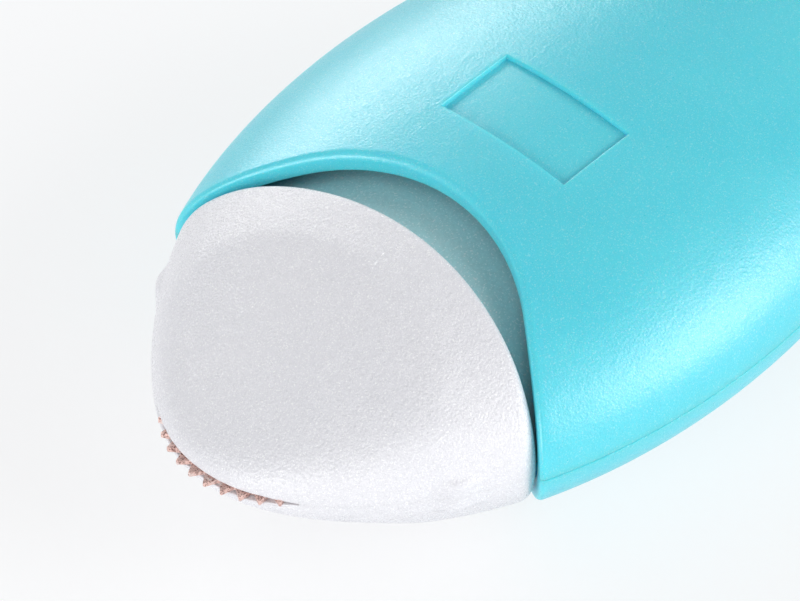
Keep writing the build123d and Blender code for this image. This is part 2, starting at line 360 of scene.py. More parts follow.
def smooth_max(one: Array, other: Array, soft: Array | float) -> Array:
    """The larger of two distances, with the crease between them eased over soft millimetres."""
    share = np.maximum(soft - np.abs(one - other), 0.0) / soft
    return np.maximum(one, other) + share * share * soft / 4


# ---------------------------------------------------------------- finishes


class Sketch:
    """Node tree of one material, with short ways to add and link nodes."""

    def __init__(self, name: str) -> None:
        """Start an empty material called name.

        Args:
            name: name of the material.
        """
        self.material = bpy.data.materials.new(name)
        self.material.use_nodes = True
        self.tree = self.material.node_tree
        self.tree.nodes.clear()
        self.output = self.tree.nodes.new("ShaderNodeOutputMaterial")
        self.where = self.add("ShaderNodeTexCoord").outputs["Object"]

    def add(self, kind: str, **values: object) -> bpy.types.Node:
        """Add a node and set its properties or input sockets.

        Args:
            kind: node type.
            values: property names, or input names with underscores for blanks.

        Returns:
            The new node.
        """
        node = self.tree.nodes.new(kind)
        for key, value in values.items():
            if hasattr(node, key):
                setattr(node, key, value)
            else:
                self.feed(node.inputs[key.replace("_", " ")], value)
        return node

    def feed(self, socket: Socket, value: object) -> None:
        """Link value to socket when it is a socket, and set it otherwise.

        Args:
            socket: input of a node.
            value: output of another node, or a plain value.
        """
        if isinstance(value, Socket):
            self.tree.links.new(value, socket)
        else:
            socket.default_value = value

    def noise(self, size: float, detail: float = 2.0, rough: float = 0.5) -> Socket:
        """Cloudy noise whose blobs are about size millimetres across.

        Args:
            size: size of a blob.
            detail: finer layers on it.
            rough: strength of the finer layers.

        Returns:
            A value of 0 to 1.
        """
        node = self.add(
            "ShaderNodeTexNoise",
            Scale=1 / (size * MM), Detail=detail, Roughness=rough, Vector=self.where,
        )
        return node.outputs["Fac"]

    def cells(self, size: float) -> Socket:
        """Distance to the middle of cells about size millimetres across."""
        node = self.add("ShaderNodeTexVoronoi", Scale=1 / (size * MM), Vector=self.where)
        return node.outputs["Distance"]

    def spread(
        self, value: Socket, low: float, high: float, start: float, end: float
    ) -> Socket:
        """Map value from low..high to start..end, held at both ends.

        Args:
            value: value to map.
            low: lowest value taken.
            high: highest value taken.
            start: result at low.
            end: result at high.

        Returns:
            The mapped value.
        """
        node = self.add(
            "ShaderNodeMapRange", clamp=True, Value=value,
            From_Min=low, From_Max=high, To_Min=start, To_Max=end,
        )
        return node.outputs["Result"]

    def sum(self, one: object, other: object, operation: str = "ADD") -> Socket:
        """Join two numbers by a Math operation.

        Args:
            one: first number.
            other: second number.
            operation: how they are joined.

        Returns:
            The result.
        """
        node = self.add("ShaderNodeMath", operation=operation)
        self.feed(node.inputs[0], one)
        self.feed(node.inputs[1], other)
        return node.outputs[0]

    def blend(self, share: object, one: object, other: object) -> Socket:
        """Mix two colours by share.

        Args:
            share: share of the other colour.
            one: first colour.
            other: other colour.

        Returns:
            The mixed colour.
        """
        node = self.add("ShaderNodeMix", data_type="RGBA")
        self.feed(node.inputs["Factor"], share)
        self.feed(node.inputs[6], one)
        self.feed(node.inputs[7], other)
        return node.outputs[2]

    def bump(self, height: Socket, depth: float) -> Socket:
        """Bump whose height of one stands for depth in millimetres."""
        node = self.add("ShaderNodeBump", Strength=1.0, Distance=depth * MM, Height=height)
        return node.outputs["Normal"]

    def surface(self, **values: object) -> Material:
        """Finish with one Principled shader.

        Args:
            values: input names of the shader, with underscores for blanks.

        Returns:
            The finished material.
        """
        shader = self.add("ShaderNodeBsdfPrincipled", **values)
        self.tree.links.new(shader.outputs[0], self.output.inputs["Surface"])
        return self.material


def shade(
    colour: tuple[float, float, float], factor: float = 1.0
) -> tuple[float, float, float, float]:
    """An sRGB colour of 0 to 255 as linear values, times factor.

    Args:
        colour: red, green and blue, as a picture has them.
        factor: share of its light that is kept.

    Returns:
        Linear red, green and blue, and full cover.
    """
    linear = []
    for value in colour:
        share = value / 255
        low = share / 12.92
        high = ((share + 0.055) / 1.055) ** 2.4
        linear.append((low if share <= 0.04045 else high) * factor)
    return (linear[0], linear[1], linear[2], 1.0)


@dataclass(frozen=True)
class SparkGrainPlastic:
    """Moulded plastic with the fine pitted grain of a spark-eroded mould, with painted shade in
    its pits and painted glints.
    """

    name: str
    colour: tuple[float, float, float]
    deep_colour: tuple[float, float, float]
    grain: float = 0.3
    depth: float = 0.034
    roughness: float = 0.4
    pit_shade_share: float = 0.5
    painted_glint_share: float = 0.5
    gleam: float = 0.5
    glow: float = 0.0
    glow_reach: float = 1.0
    glow_radius: tuple[float, float, float] = (1.0, 0.96, 0.98)

    def make(self) -> Material:
        """Build the material.

        Returns:
            The finished material.
        """
        sketch = Sketch(self.name)
        pits = sketch.noise(self.grain, detail=3.0, rough=0.62)
        cells = sketch.cells(self.grain * 1.3)
        waves = sketch.noise(self.grain * 5, detail=2.0)
        swell = sketch.noise(self.grain * 16, detail=1.0)
        clouds = sketch.noise(9.0, detail=3.0)
        sparks = sketch.noise(self.grain * 0.6, detail=1.0)
        height = sketch.sum(pits, sketch.sum(cells, 0.45, "MULTIPLY"))
        height = sketch.sum(height, sketch.sum(waves, 0.8, "MULTIPLY"))
        height = sketch.sum(height, sketch.sum(swell, 1.5, "MULTIPLY"))
        cloudy = sketch.spread(clouds, 0.35, 0.65, 0.0, 0.5)
        # Painted shade: the base colour darkens in the low pits of the bump.
        painted_pit_shade = sketch.spread(pits, 0.38, 0.62, self.pit_shade_share, 0.0)
        # Painted glints: white specks in the base colour stand in for light catching the grain.
        painted_glints = sketch.spread(sparks, 0.6, 0.68, 0.0, self.painted_glint_share)
        tint = sketch.blend(cloudy, shade(self.colour), shade(self.deep_colour))
        tint = sketch.blend(painted_pit_shade, tint, shade(self.deep_colour, 0.8))
        tint = sketch.blend(painted_glints, tint, (1.0, 1.0, 1.0, 1.0))
        gloss = sketch.spread(pits, 0.3, 0.7, self.roughness + 0.1, self.roughness - 0.1)
        return sketch.surface(
            Base_Color=tint,
            Roughness=gloss,
            Specular_IOR_Level=self.gleam,
            Normal=sketch.bump(height, self.depth),
            Subsurface_Weight=self.glow,
            Subsurface_Scale=self.glow_reach * MM,
            Subsurface_Radius=self.glow_radius,
        )


@dataclass(frozen=True)
class StampedCopper:
    """Copper-coloured plating on a stamped disc, worn dark in its pits and dusty with chalk."""

    name: str = "stamped_copper"
    colour: tuple[float, float, float] = (242, 206, 196)
    dark: tuple[float, float, float] = (122, 62, 52)
    dust: tuple[float, float, float] = (236, 222, 218)

    def make(self) -> Material:
        """Build the material.

        Returns:
            The finished material.
        """
        sketch = Sketch(self.name)
        grit = sketch.noise(0.16, detail=3.0, rough=0.7)
        stain = sketch.noise(0.5, detail=3.0, rough=0.65)
        powder = sketch.noise(0.9, detail=4.0, rough=0.6)
        stained = sketch.spread(stain, 0.52, 0.64, 0.0, 0.5)
        specks = sketch.spread(grit, 0.41, 0.46, 0.95, 0.0)
        dusty = sketch.spread(powder, 0.54, 0.66, 0.0, 0.8)
        tint = sketch.blend(stained, shade(self.colour), shade(self.dark))
        tint = sketch.blend(specks, tint, shade(self.dark, 0.7))
        tint = sketch.blend(dusty, tint, shade(self.dust))
        metal = sketch.spread(powder, 0.54, 0.66, 0.55, 0.1)
        gloss = sketch.spread(grit, 0.3, 0.7, 0.52, 0.3)
        return sketch.surface(
            Base_Color=tint,
            Metallic=metal,
            Roughness=gloss,
            Normal=sketch.bump(sketch.sum(grit, stain), 0.03),
        )


@dataclass(frozen=True)
class SmoothPlastic:
    """Plain moulded plastic with a faint flow pattern and fine wear."""

    name: str
    colour: tuple[float, float, float]
    worn: tuple[float, float, float]
    roughness: float = 0.32
    depth: float = 0.006
    grain: float = 0.4

    def make(self) -> Material:
        """Build the material.

        Returns:
            The finished material.
        """
        sketch = Sketch(self.name)
        flow = sketch.noise(3.0, detail=3.0)
        fine = sketch.noise(self.grain, detail=3.0, rough=0.6)
        wear = sketch.spread(flow, 0.4, 0.65, 0.0, 0.6)
        tint = sketch.blend(wear, shade(self.colour), shade(self.worn))
        gloss = sketch.spread(fine, 0.3, 0.7, self.roughness - 0.06, self.roughness + 0.1)
        return sketch.surface(
            Base_Color=tint,
            Roughness=gloss,
            Normal=sketch.bump(sketch.sum(fine, flow), self.depth),
        )


@dataclass(frozen=True)
class GroundSteel:
    """Ground steel with fine rings left by the wheel that ground it."""

    name: str = "ground_steel"
    colour: tuple[float, float, float] = (198, 200, 204)
    dark: tuple[float, float, float] = (140, 143, 148)

    def make(self) -> Material:
        """Build the material.

        Returns:
            The finished material.
        """
        sketch = Sketch(self.name)
        stretch = sketch.add("ShaderNodeMapping", Scale=(1.0, 1.0, 14.0), Vector=sketch.where)
        rings = sketch.add(
            "ShaderNodeTexNoise", Scale=1 / (0.8 * MM), Detail=2.0, Vector=stretch.outputs[0]
        )
        lines = rings.outputs["Fac"]
        streaks = sketch.spread(lines, 0.35, 0.65, 0.0, 1.0)
        tint = sketch.blend(streaks, shade(self.colour), shade(self.dark))
        gloss = sketch.spread(lines, 0.3, 0.7, 0.22, 0.4)
        return sketch.surface(
            Base_Color=tint, Metallic=1.0, Roughness=gloss, Normal=sketch.bump(lines, 0.004)
        )


@dataclass(frozen=True)
class DryMatter:
    """Matt fibrous or powdery stuff, such as felt, powder and soft rubber."""

    name: str
    colour: tuple[float, float, float]
    shadow: tuple[float, float, float]
    grain: float
    depth: float
    roughness: float = 0.9

    def make(self) -> Material:
        """Build the material.

        Returns:
            The finished material.
        """
        sketch = Sketch(self.name)
        lumps = sketch.noise(self.grain * 4, detail=4.0, rough=0.6)
        fine = sketch.noise(self.grain, detail=4.0, rough=0.7)
        hollows = sketch.spread(fine, 0.35, 0.6, 1.0, 0.0)
        tint = sketch.blend(hollows, shade(self.colour), shade(self.shadow))
        gloss = sketch.spread(lumps, 0.3, 0.7, self.roughness - 0.08, self.roughness)
        return sketch.surface(
            Base_Color=tint,
            Roughness=gloss,
            Normal=sketch.bump(sketch.sum(fine, lumps), self.depth),
        )


# ---------------------------------------------------------------- the pebble


@dataclass(frozen=True)
class Pebble:
    """Ellipsoid that the handle and the nose share, and the places on it."""

    centre_x: float = 0.1
    mid: float = 11.75
    half_length: float = 40.7
    half_width: float = 24.5
    half_thick: float = 12.0
    wheel_x: float = -30.834

    def ring(self, angle: Array, shrink: float = 0.0) -> Array:
        """Distance from the long axis to the widest section, at angles round that axis.

        Args:
            angle: angles round the long axis.
            shrink: how far inside the pebble.

        Returns:
            One distance for each angle.
        """
        across = np.cos(angle) / (self.half_width - shrink)
        up = np.sin(angle) / (self.half_thick - shrink)
        return 1 / np.sqrt(across**2 + up**2)


@dataclass
class Handle:
    """The two halves of the turquoise handle, with their arched lip and the bare plate."""

    pebble: Pebble = field(default_factory=Pebble)
    wall: float = 2.0
    arch_apex: float = 19.95
    arch_radius: float = 18.8
    arch_turn: float = 40.2
    lip_round: float = 0.8
    lip_round_flank: float = 0.35
    lip_inner_round: float = 0.5
    groove_depth: float = 0.12
    groove_half: float = 0.08
    plate_front: float = -4.6
    plate_back: float = 3.4
    plate_half_width: float = 6.75
    plate_depth: float = 0.45
    plate_edge: float = 0.09
    rib_thickness: float = 1.5
    rib_sunk: float = 0.3
    rib_columns: int = 65
    rib_places: tuple[tuple[float, float, float], ...] = (
        (-7.384, 18.3, 9.1),
        (2.166, 18.3, 9.1),
        (6.766, 14.0, 6.4),
    )
    first_angle: float = 1.2
    columns: int = 150
    outer_rows: int = 120
    inner_rows: int = 44
    lip_rows: int = 9
    lip_inner_rows: int = 7
    face_rows: int = 4
    turns_eased: int = 6
    plate_slack: float = 0.012
    plate_surface: float = 0.002
    plate_lip: float = 0.03
    plate_search: float = 1.6
    eased_front: float = -14.0
    eased_back: float = 13.0
    groove_steps: tuple[tuple[float, float], ...] = (
        (0.0, 1.0), (0.6, 1.0), (0.9, 0.35), (1.3, 0.0), (2.4, 0.0),
    )
    groove_reach: float = 3.4

    def arch_x(self, across: Array) -> Array:
        """Place of the arched lip along the tool, at distances across it.

        Args:
            across: distances from the long upright plane.

        Returns:
            One place for each distance.
        """
        centre = self.pebble.wheel_x + self.arch_apex - self.arch_radius
        turn = math.radians(self.arch_turn)
        turn_x = self.arch_radius * math.cos(turn)
        turn_y = self.arch_radius * math.sin(turn)
        across = np.abs(across)
        round_x = np.sqrt(np.maximum(self.arch_radius**2 - across**2, 0.0))
        straight_x = turn_x - (across - turn_y) * math.tan(turn)
        return centre + np.where(across < turn_y, round_x, straight_x)

    def lip_place(self, angle: Array, shrink: float) -> Array:
        """Angle along a profile at which it meets the arch.

        Args:
            angle: angles round the long axis.
            shrink: how far inside the pebble the profile runs.

        Returns:
            One angle from the tail for each profile.
        """
        pebble = self.pebble
        reach = pebble.ring(angle, shrink)
        low = np.full_like(angle, 0.9)
        high = np.full_like(angle, 3.1)
        for _ in range(48):
            middle = (low + high) / 2
            x = pebble.centre_x + (pebble.half_length - shrink) * np.cos(middle)
            behind = x > self.arch_x(reach * np.sin(middle) * np.cos(angle))
            low = np.where(behind, middle, low)
            high = np.where(behind, high, middle)
        return (low + high) / 2

    def profile(self, angle: float) -> Array:
        """One profile in the plane through the long axis at angle.

        Args:
            angle: angle round the long axis.

        Returns:
            Places along the tool and away from its axis, with the depth share of the groove,
            from the outer end of the tail round the lip to the inner end of the tail.
        """
        pebble = self.pebble
        whole = np.array([angle])
        corners, ends = [], []
        for shrink in (0.0, self.wall):
            turn = self.lip_place(whole, shrink)[0]
            reach = pebble.ring(whole, shrink)[0]
            length = pebble.half_length - shrink
            place = np.array([pebble.centre_x + length * math.cos(turn), reach * math.sin(turn)])
            back = np.array([length * math.sin(turn), -reach * math.cos(turn)])
            corners.append((place, back / np.linalg.norm(back)))
            ends.append((turn, reach, length))
        outer, inner = corners[0][0], corners[1][0]
        slope = self.lip_slope(outer[1], angle), self.lip_slope(inner[1], angle)
        arcs = [
            self.rounding(outer, corners[0][1], -slope[0], self.lip_radius(angle), self.lip_rows),
            self.rounding(
                inner, corners[1][1], slope[1], self.lip_inner_round, self.lip_inner_rows
            )[::-1],
        ]
        plate_ends = (self.plate_back, self.plate_front)
        outside = self.run(ends[0], arcs[0][0], self.outer_rows, plate_ends)
        inside = self.run(ends[1], arcs[1][-1], self.inner_rows, ())[::-1]
        share = np.linspace(0, 1, self.face_rows + 2)[1:-1]
        away = arcs[0][-1][1] + (arcs[1][0][1] - arcs[0][-1][1]) * share
        along = self.arch_x(away * math.cos(angle))
        face = np.column_stack([along, away])
        depth = [
            np.ones(len(outside)),
            np.linspace(1, 0, len(arcs[0])),
            np.zeros(len(face) + len(arcs[1]) + len(inside)),
        ]
        line = np.vstack([outside, arcs[0], face, arcs[1], inside])
        return np.column_stack([line, np.concatenate(depth)])

    def lip_radius(self, angle: float) -> float:
        """Rounding of the lip's outer edge, larger at the crown than at the flanks."""
        more = self.lip_round - self.lip_round_flank
        return self.lip_round_flank + more * math.sin(angle) ** 2

    def lip_slope(self, away: float, angle: float) -> Array:
        """Unit direction along the lip, away from the long axis, in the plane at angle.

        Args:
            away: distance from the long axis.
            angle: angle round it.

        Returns:
            The direction, along the tool and away from its axis.
        """
        step = 0.01
        near = np.array([away - step, away + step])
        along = self.arch_x(near * math.cos(angle))
        line = np.array([along[1] - along[0], 2 * step])
        return line / np.linalg.norm(line)

    def rounding(
        self, corner: Array, back: Array, down: Array, radius: float, count: int
    ) -> Array:
        """Arc that rounds a corner of the profile.

        Args:
            corner: place of the sharp corner.
            back: unit direction from it along the skin.
            down: unit direction from it along the lip face.
            radius: radius of the arc.
            count: number of places on the arc.

        Returns:
            Places from the skin to the lip face.
        """
        half = math.acos(float(np.clip(back @ down, -1, 1))) / 2
        middle = (back + down) / np.linalg.norm(back + down)
        centre = corner + middle * radius / math.sin(half)
        start = corner + back * radius / math.tan(half) - centre
        end = corner + down * radius / math.tan(half) - centre
        sweep = math.pi - 2 * half
        share = np.linspace(0, 1, count)[:, None]
        mixed = np.sin((1 - share) * sweep) * start + np.sin(share * sweep) * end
        return centre + mixed / math.sin(sweep)

    def run(
        self, end: tuple[float, float, float], stop: Array, count: int, stations: tuple[float, ...]
    ) -> Array:
        """Places on one skin from the tail to where the rounding of the lip starts.

        Args:
            end: angle at the lip, distance from the axis and half length of the skin.
            stop: first place of the rounding.
            count: number of places.
            stations: places along the tool that the run has to pass.

        Returns:
            Places along the tool and away from its axis.
        """
        _, reach, length = end
        centre = self.pebble.centre_x
        last = math.acos(float(np.clip((stop[0] - centre) / length, -1, 1)))
        stops = [0.0] + [math.acos((x - centre) / length) for x in stations] + [last]
        shares = (0.64, 0.2, 0.16) if stations else (1.0,)
        turns = []
        for first, then, share in zip(stops, stops[1:], shares):
            turns.append(np.linspace(first, then, round(count * share) + 1)[:-1])
        turn = np.concatenate(turns)
        return np.column_stack([centre + length * np.cos(turn), reach * np.sin(turn)])

    def columns_of(self) -> Array:
        """Angles of the regular columns, with one on each side edge of the plate.

        Returns:
            Angles round the long axis.
        """
        edge = math.degrees(math.atan2(self.plate_height(), self.plate_half_width))
        side = round(self.columns * (edge - self.first_angle) / (180 - 2 * self.first_angle))
        left = np.linspace(self.first_angle, edge, side + 1)[:-1]
        middle = np.linspace(edge, 180 - edge, self.columns - 2 * side + 1)
        right = 180 - left[::-1]
        return np.radians(np.concatenate([left, middle, right]))

    def plate_height(self) -> float:
        """Height above the mid plane of the side edges of the plate.

        Returns:
            The height at the middle of the plate.
        """
        pebble = self.pebble
        share = 1 - (self.plate_half_width / pebble.half_width) ** 2
        middle = (self.plate_front + self.plate_back) / 2 - pebble.centre_x
        return pebble.half_thick * math.sqrt(share - (middle / pebble.half_length) ** 2)

    def half(self, side: Half, name: str) -> Object:
        """One half of the handle as a closed shell.

        Args:
            side: which half.
            name: name of the new object.

        Returns:
            The shell, smooth and facing out.
        """
        angles = self.columns_of()
        lines = np.stack([self.profile(float(angle)) for angle in angles])
        edge_line = self.profile(0.0)
        first_height = edge_line[:, 1] * math.sin(angles[0])
        planes = []
        for share, depth in self.groove_steps:
            flat = np.minimum(first_height / self.groove_reach, self.groove_half) * share
            away = edge_line[:, 1] - self.groove_depth * depth * edge_line[:, 2]
            away = np.maximum(away, edge_line[:, 1] * 0.5)
            planes.append(np.column_stack([edge_line[:, 0], away, flat]))
        skin = []
        for angle, line in zip(angles, lines):
            turn = self.plate_turn(line, float(angle), angles)
            away = line[:, 1] * self.pebble.ring(turn) / self.pebble.ring(angle)
            skin.append(np.column_stack([line[:, 0], away * np.cos(turn), away * np.sin(turn)]))
        mirrored = [plane * np.array([1.0, -1.0, 1.0]) for plane in planes[::-1]]
        places = np.stack(planes + skin + mirrored, axis=1)
        places[:, :, 2] = self.pebble.mid + side.value * places[:, :, 2]
        shell = bent_grid(name, places)
        seal(shell)
        return shell

    def plate_turn(self, line: Array, angle: float, angles: Array) -> Array:
        """Angle of each place of a column, eased so that two columns follow the plate's sides.

        Args:
            line: profile of the column.
            angle: its regular angle.
            angles: the regular angles of all columns.

        Returns:
            One angle for each place.
        """
        edge = math.atan2(self.plate_height(), self.plate_half_width)
        step = angles[1] - angles[0]
        turn = np.full(len(line), angle)
        pebble = self.pebble
        along = (line[:, 0] - pebble.centre_x) / pebble.half_length
        near = (line[:, 0] > self.eased_front) & (line[:, 0] < self.eased_back)
        near = near & (line[:, 2] > 0.5)
        share = np.clip(1 - along**2, 0.2, 1) - (self.plate_half_width / pebble.half_width) ** 2
        wanted = np.arctan2(pebble.half_thick * np.sqrt(share), self.plate_half_width)
        shift = np.where(near, wanted - edge, 0.0)
        for target, sign in ((edge, 1.0), (math.pi - edge, -1.0)):
            weight = max(0.0, 1 - abs(angle - target) / (self.turns_eased * step))
            turn = turn + weight * sign * shift
        return turn

    def sink_plate(self, shell: Object) -> None:
        """Press the bare plate into the upper half, with crisp but rounded edges.

        Args:
            shell: upper half of the handle.
        """
        centres = face_centres(shell)
        inside = (
            (centres[:, 0] > self.plate_front)
            & (centres[:, 0] < self.plate_back)
            & (np.abs(centres[:, 1]) < self.plate_half_width)
            & (centres[:, 2] > self.pebble.mid + self.pebble.half_thick - self.plate_search)
        )
        mark(shell, Part.FACES, inside)
        bpy.ops.mesh.inset(thickness=self.plate_lip * MM, depth=-self.plate_depth * MM)
        put_down()
        start, end = edge_ends(shell)
        rim = self.on_plate_rim(start) & self.on_plate_rim(end)
        mark(shell, Part.EDGES, rim)
        bpy.ops.mesh.bevel(offset=self.plate_edge * MM, segments=3, affect="EDGES")
        put_down()

    def on_plate_rim(self, places: Array) -> Array:
        """True for points on the edge of the plate's recess, at the handle's surface.

        Args:
            places: one row of three for each point.

        Returns:
            One truth value for each point.
        """
        pebble = self.pebble
        along = (places[:, 0] - pebble.centre_x) / pebble.half_length
        across = places[:, 1] / pebble.half_width
        up = (places[:, 2] - pebble.mid) / pebble.half_thick
        surface = np.abs(along**2 + across**2 + up**2 - 1) < self.plate_surface
        x, y = places[:, 0], np.abs(places[:, 1])
        slack = self.plate_slack
        end = (np.abs(x - self.plate_front) < slack) | (np.abs(x - self.plate_back) < slack)
        side = np.abs(y - self.plate_half_width) < slack
        in_x = (x > self.plate_front - slack) & (x < self.plate_back + slack)
        in_y = y < self.plate_half_width + slack
        return surface & (places[:, 2] > pebble.mid) & ((end & in_y) | (side & in_x))

    def rib(self, side: Half, place: tuple[float, float, float]) -> Object:
        """Half ring inside the handle that cradles the neck, or stops it.

        Args:
            side: which half it belongs to.
            place: its front face, and the half width and half height of its opening.

        Returns:
            The closed rib.
        """
        start, open_y, open_z = place
        pebble = self.pebble
        rows = []
        for x in (start, start + self.rib_thickness):
            share = math.sqrt(1 - ((x - pebble.centre_x) / (pebble.half_length - self.wall)) ** 2)
            wide = (pebble.half_width - self.wall) * share + self.rib_sunk
            high = (pebble.half_thick - self.wall) * share + self.rib_sunk
            rows.append(oval(x, wide, high, self.rib_columns))
            rows.append(oval(x, open_y, open_z, self.rib_columns))
        places = np.stack([rows[0], rows[1], rows[3], rows[2], rows[0]])
        places[:, :, 2] = pebble.mid + side.value * places[:, :, 2]
        rib = bent_grid("rib", places)
        seal(rib)
        return rib

    def build(self, plastic: Material) -> list[Object]:
        """Build and dress both halves.

        Args:
            plastic: the handle's material.

        Returns:
            The upper and the lower half.
        """
        halves = []
        for side, name, node in (
            (Half.UPPER, "handle_upper_half", "handle_top_shell"),
            (Half.LOWER, "handle_lower_half", "handle_bottom_shell"),
        ):
            shell = self.half(side, name)
            if side is Half.UPPER:
                self.sink_plate(shell)
            else:
                open_all(shell)
                bpy.ops.mesh.bisect(
                    plane_co=(0, 0, 0), plane_no=(0, 0, 1),
                    use_fill=True, clear_inner=True, threshold=1e-7,
                )
                put_down()
            join(shell, *[self.rib(side, place) for place in self.rib_places])
            dress(shell, plastic, "handle", "handle_plastic", node)
            halves.append(shell)
        return halves


def dress(
    piece: Object,
    material: Material,
    body: str,
    slot: str,
    *nodes: str,
    angle: float = 32.0,
) -> None:
    """Shade, paint and hang a finished piece.

    Args:
        piece: the finished mesh.
        material: what it is made of.
        body: the body that it moves with.
        slot: the record's material slot; not used.
        nodes: the solids that it stands for.
        angle: sharpest turn that is shaded smooth, in degrees.
    """
    smooth(piece, angle)
    piece.data.materials.clear()
    piece.data.materials.append(material)
    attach(piece, body)
    if nodes:
        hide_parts(*nodes)
    log.info("%s: %d faces on %s", piece.name, len(piece.data.polygons), body)


# ---------------------------------------------------------------- the cartridge


@dataclass
class Nose:
    """The two halves of the white cartridge: nose with its finger dishes, and neck."""

    pebble: Pebble = field(default_factory=Pebble)
    inset: float = 0.42
    flank_radius: float = 88.7
    tip_radius: float = 10.63
    tip_x: float = -2.52
    flank_inset: float = -9.14
    ridge_apex: float = 14.8
    ridge_radius: float = 37.6
    wall: float = 1.5
    dish_rear: float = 11.5
    dish_front: float = -8.0
    dish_front_drop: float = 0.62
    dish_radius: float = 160.0
    dish_crown: float = 88.0
    flank_soft: float = 3.9
    tip_soft: float = 5.1
    ridge_soft: float = 0.58
    corner_soft: float = 1.3
    dish_soft_rear: float = 0.16
    dish_soft_front: float = 2.1
    slot_half: float = 0.4
    slot_radius: float = 10.15
    slot_round: float = 0.12
    neck_half_width: float = 18.0
    neck_half_thick: float = 8.8
    neck_start: float = 9.5
    neck_end: float = 36.0
    nub_x: float = 4.5
    nub_y: float = 14.42
    nub_radius: float = 3.0
    nub_half: float = 1.6
    nub_round: float = 0.5
    nub_soft: float = 0.35
    slot_sides: int = 160
    slot_even: float = 30.0
    slot_fade: float = 20.0
    slot_thinning: float = 0.8
    tip_ahead: float = 8.0
    tip_fade: float = 16.0
    corner_start: float = 13.0
    corner_fade: float = 6.5
    dish_fade_start: float = 7.0
    dish_fade: float = 10.0
    mouth_reach: float = 0.6
    mouth_fade: float = 0.8
    neck_round: float = 0.35
    neck_columns: int = 97
    skin_slack: float = 0.05
    columns: int = 432
    rows: int = 150
    inner_rows: int = 28
    ray_x: float = 3.0
    ray_reach: float = 45.0
    ray_rows: int = 520

    def outline(self, x: Array, y: Array) -> Array:
        """Distance outside the flanks and the tip, in plan, measured from the wheel.

        Args:
            x: places behind the wheel's centre.
            y: places across the tool.

        Returns:
            One distance for each place.
        """
        across = self.flank_radius - self.pebble.half_width + self.flank_inset
        along = math.sqrt((self.flank_radius - self.tip_radius) ** 2 - across**2)
        ahead_x = x - self.tip_x
        flank = np.hypot(ahead_x - along, np.abs(y) + across) - self.flank_radius
        tip = np.hypot(ahead_x, y) - self.tip_radius
        ahead = np.abs(y) * along < -ahead_x * across
        return np.where(ahead, tip, flank)

    def height(self, x: float) -> float:
        """Height of the pebble above the mid plane, on the long axis."""
        along = (self.pebble.wheel_x + x - self.pebble.centre_x) / self.pebble.half_length
        return self.pebble.half_thick * math.sqrt(1 - along**2)

    def dish(self, x: Array, y: Array, z: Array) -> Array:
        """Distance above the floor of the finger dish.

        Args:
            x: places behind the wheel's centre.
            y: places across the tool.
            z: heights above the mid plane.

        Returns:
            One distance for each place.
        """
        rear = np.array([self.dish_rear, self.height(self.dish_rear)])
        front = np.array([self.dish_front, self.height(self.dish_front) - self.dish_front_drop])
        chord = rear - front
        half = np.linalg.norm(chord) / 2
        along = chord / (2 * half)
        up = np.array([-along[1], along[0]])
        middle = (rear + front) / 2
        u = (x - middle[0]) * along[0] + (z - middle[1]) * along[1]
        v = (x - middle[0]) * up[0] + (z - middle[1]) * up[1]
        sag = self.dish_radius - math.sqrt(self.dish_radius**2 - half**2)
        floor = self.dish_radius - sag - np.sqrt(self.dish_radius**2 - u**2)
        axis = -sag - self.dish_crown
        return np.hypot(v - axis, y) - (floor - axis)

    def level(self, x: Array, y: Array, z: Array) -> Array:
        """Distance outside the nose, below zero inside it, measured from the wheel.

        Args:
            x: places behind the wheel's centre.
            y: places across the tool.
            z: heights above the mid plane.

        Returns:
            One distance for each place.
        """
        pebble = self.pebble
        along = x + pebble.wheel_x - pebble.centre_x
        sizes = np.array([pebble.half_length, pebble.half_width, pebble.half_thick]) - self.inset
        near = np.sqrt((along / sizes[0]) ** 2 + (y / sizes[1]) ** 2 + (z / sizes[2]) ** 2)
        steep = np.sqrt(
            (along / sizes[0] ** 2) ** 2 + (y / sizes[1] ** 2) ** 2 + (z / sizes[2] ** 2) ** 2
        )
        form = near * (near - 1) / np.maximum(steep, 1e-9)
        share = np.clip((x + self.tip_ahead) / self.tip_fade, 0, 1)
        soft = self.tip_soft + (self.flank_soft - self.tip_soft) * share
        form = smooth_max(form, self.outline(x, y), soft)
        ridge = np.hypot(x - self.ridge_apex + self.ridge_radius, y) - self.ridge_radius
        aside = np.clip((np.abs(y) - self.corner_start) / self.corner_fade, 0, 1)
        form = smooth_max(form, ridge, self.ridge_soft + self.corner_soft * aside**2)
        forward = np.clip((self.dish_fade_start - x) / self.dish_fade, 0, 1)
        forward = forward * forward * (3 - 2 * forward)
        soft = self.dish_soft_rear + (self.dish_soft_front - self.dish_soft_rear) * forward
        form = smooth_max(form, self.dish(x, y, np.abs(z)), soft)
        form = -smooth_max(-form, -self.nub(x, y, z), self.nub_soft)
        above = np.clip(self.slot_half + self.slot_round - np.abs(z), 0, self.slot_round)
        drop = self.slot_round - np.sqrt(np.maximum(self.slot_round**2 - above**2, 0))
        mouth = self.slot_radius + self.mouth_reach - np.hypot(x, y)
        facing = np.clip(mouth / self.mouth_fade, 0, 1)
        return form + drop * facing * (x < 0)

    def nub(self, x: Array, y: Array, z: Array) -> Array:
        """Distance outside the small round nub on each flank.

        Args:
            x: places behind the wheel's centre.
            y: places across the tool.
            z: heights above the mid plane.

        Returns:
            One distance for each place.
        """
        away = np.hypot(x - self.nub_x, np.abs(y) - self.nub_y) - self.nub_radius + self.nub_round
        above = np.abs(z) - self.nub_half + self.nub_round
        corner = np.hypot(np.maximum(away, 0), np.maximum(above, 0))
        return corner + np.minimum(np.maximum(away, above), 0) - self.nub_round

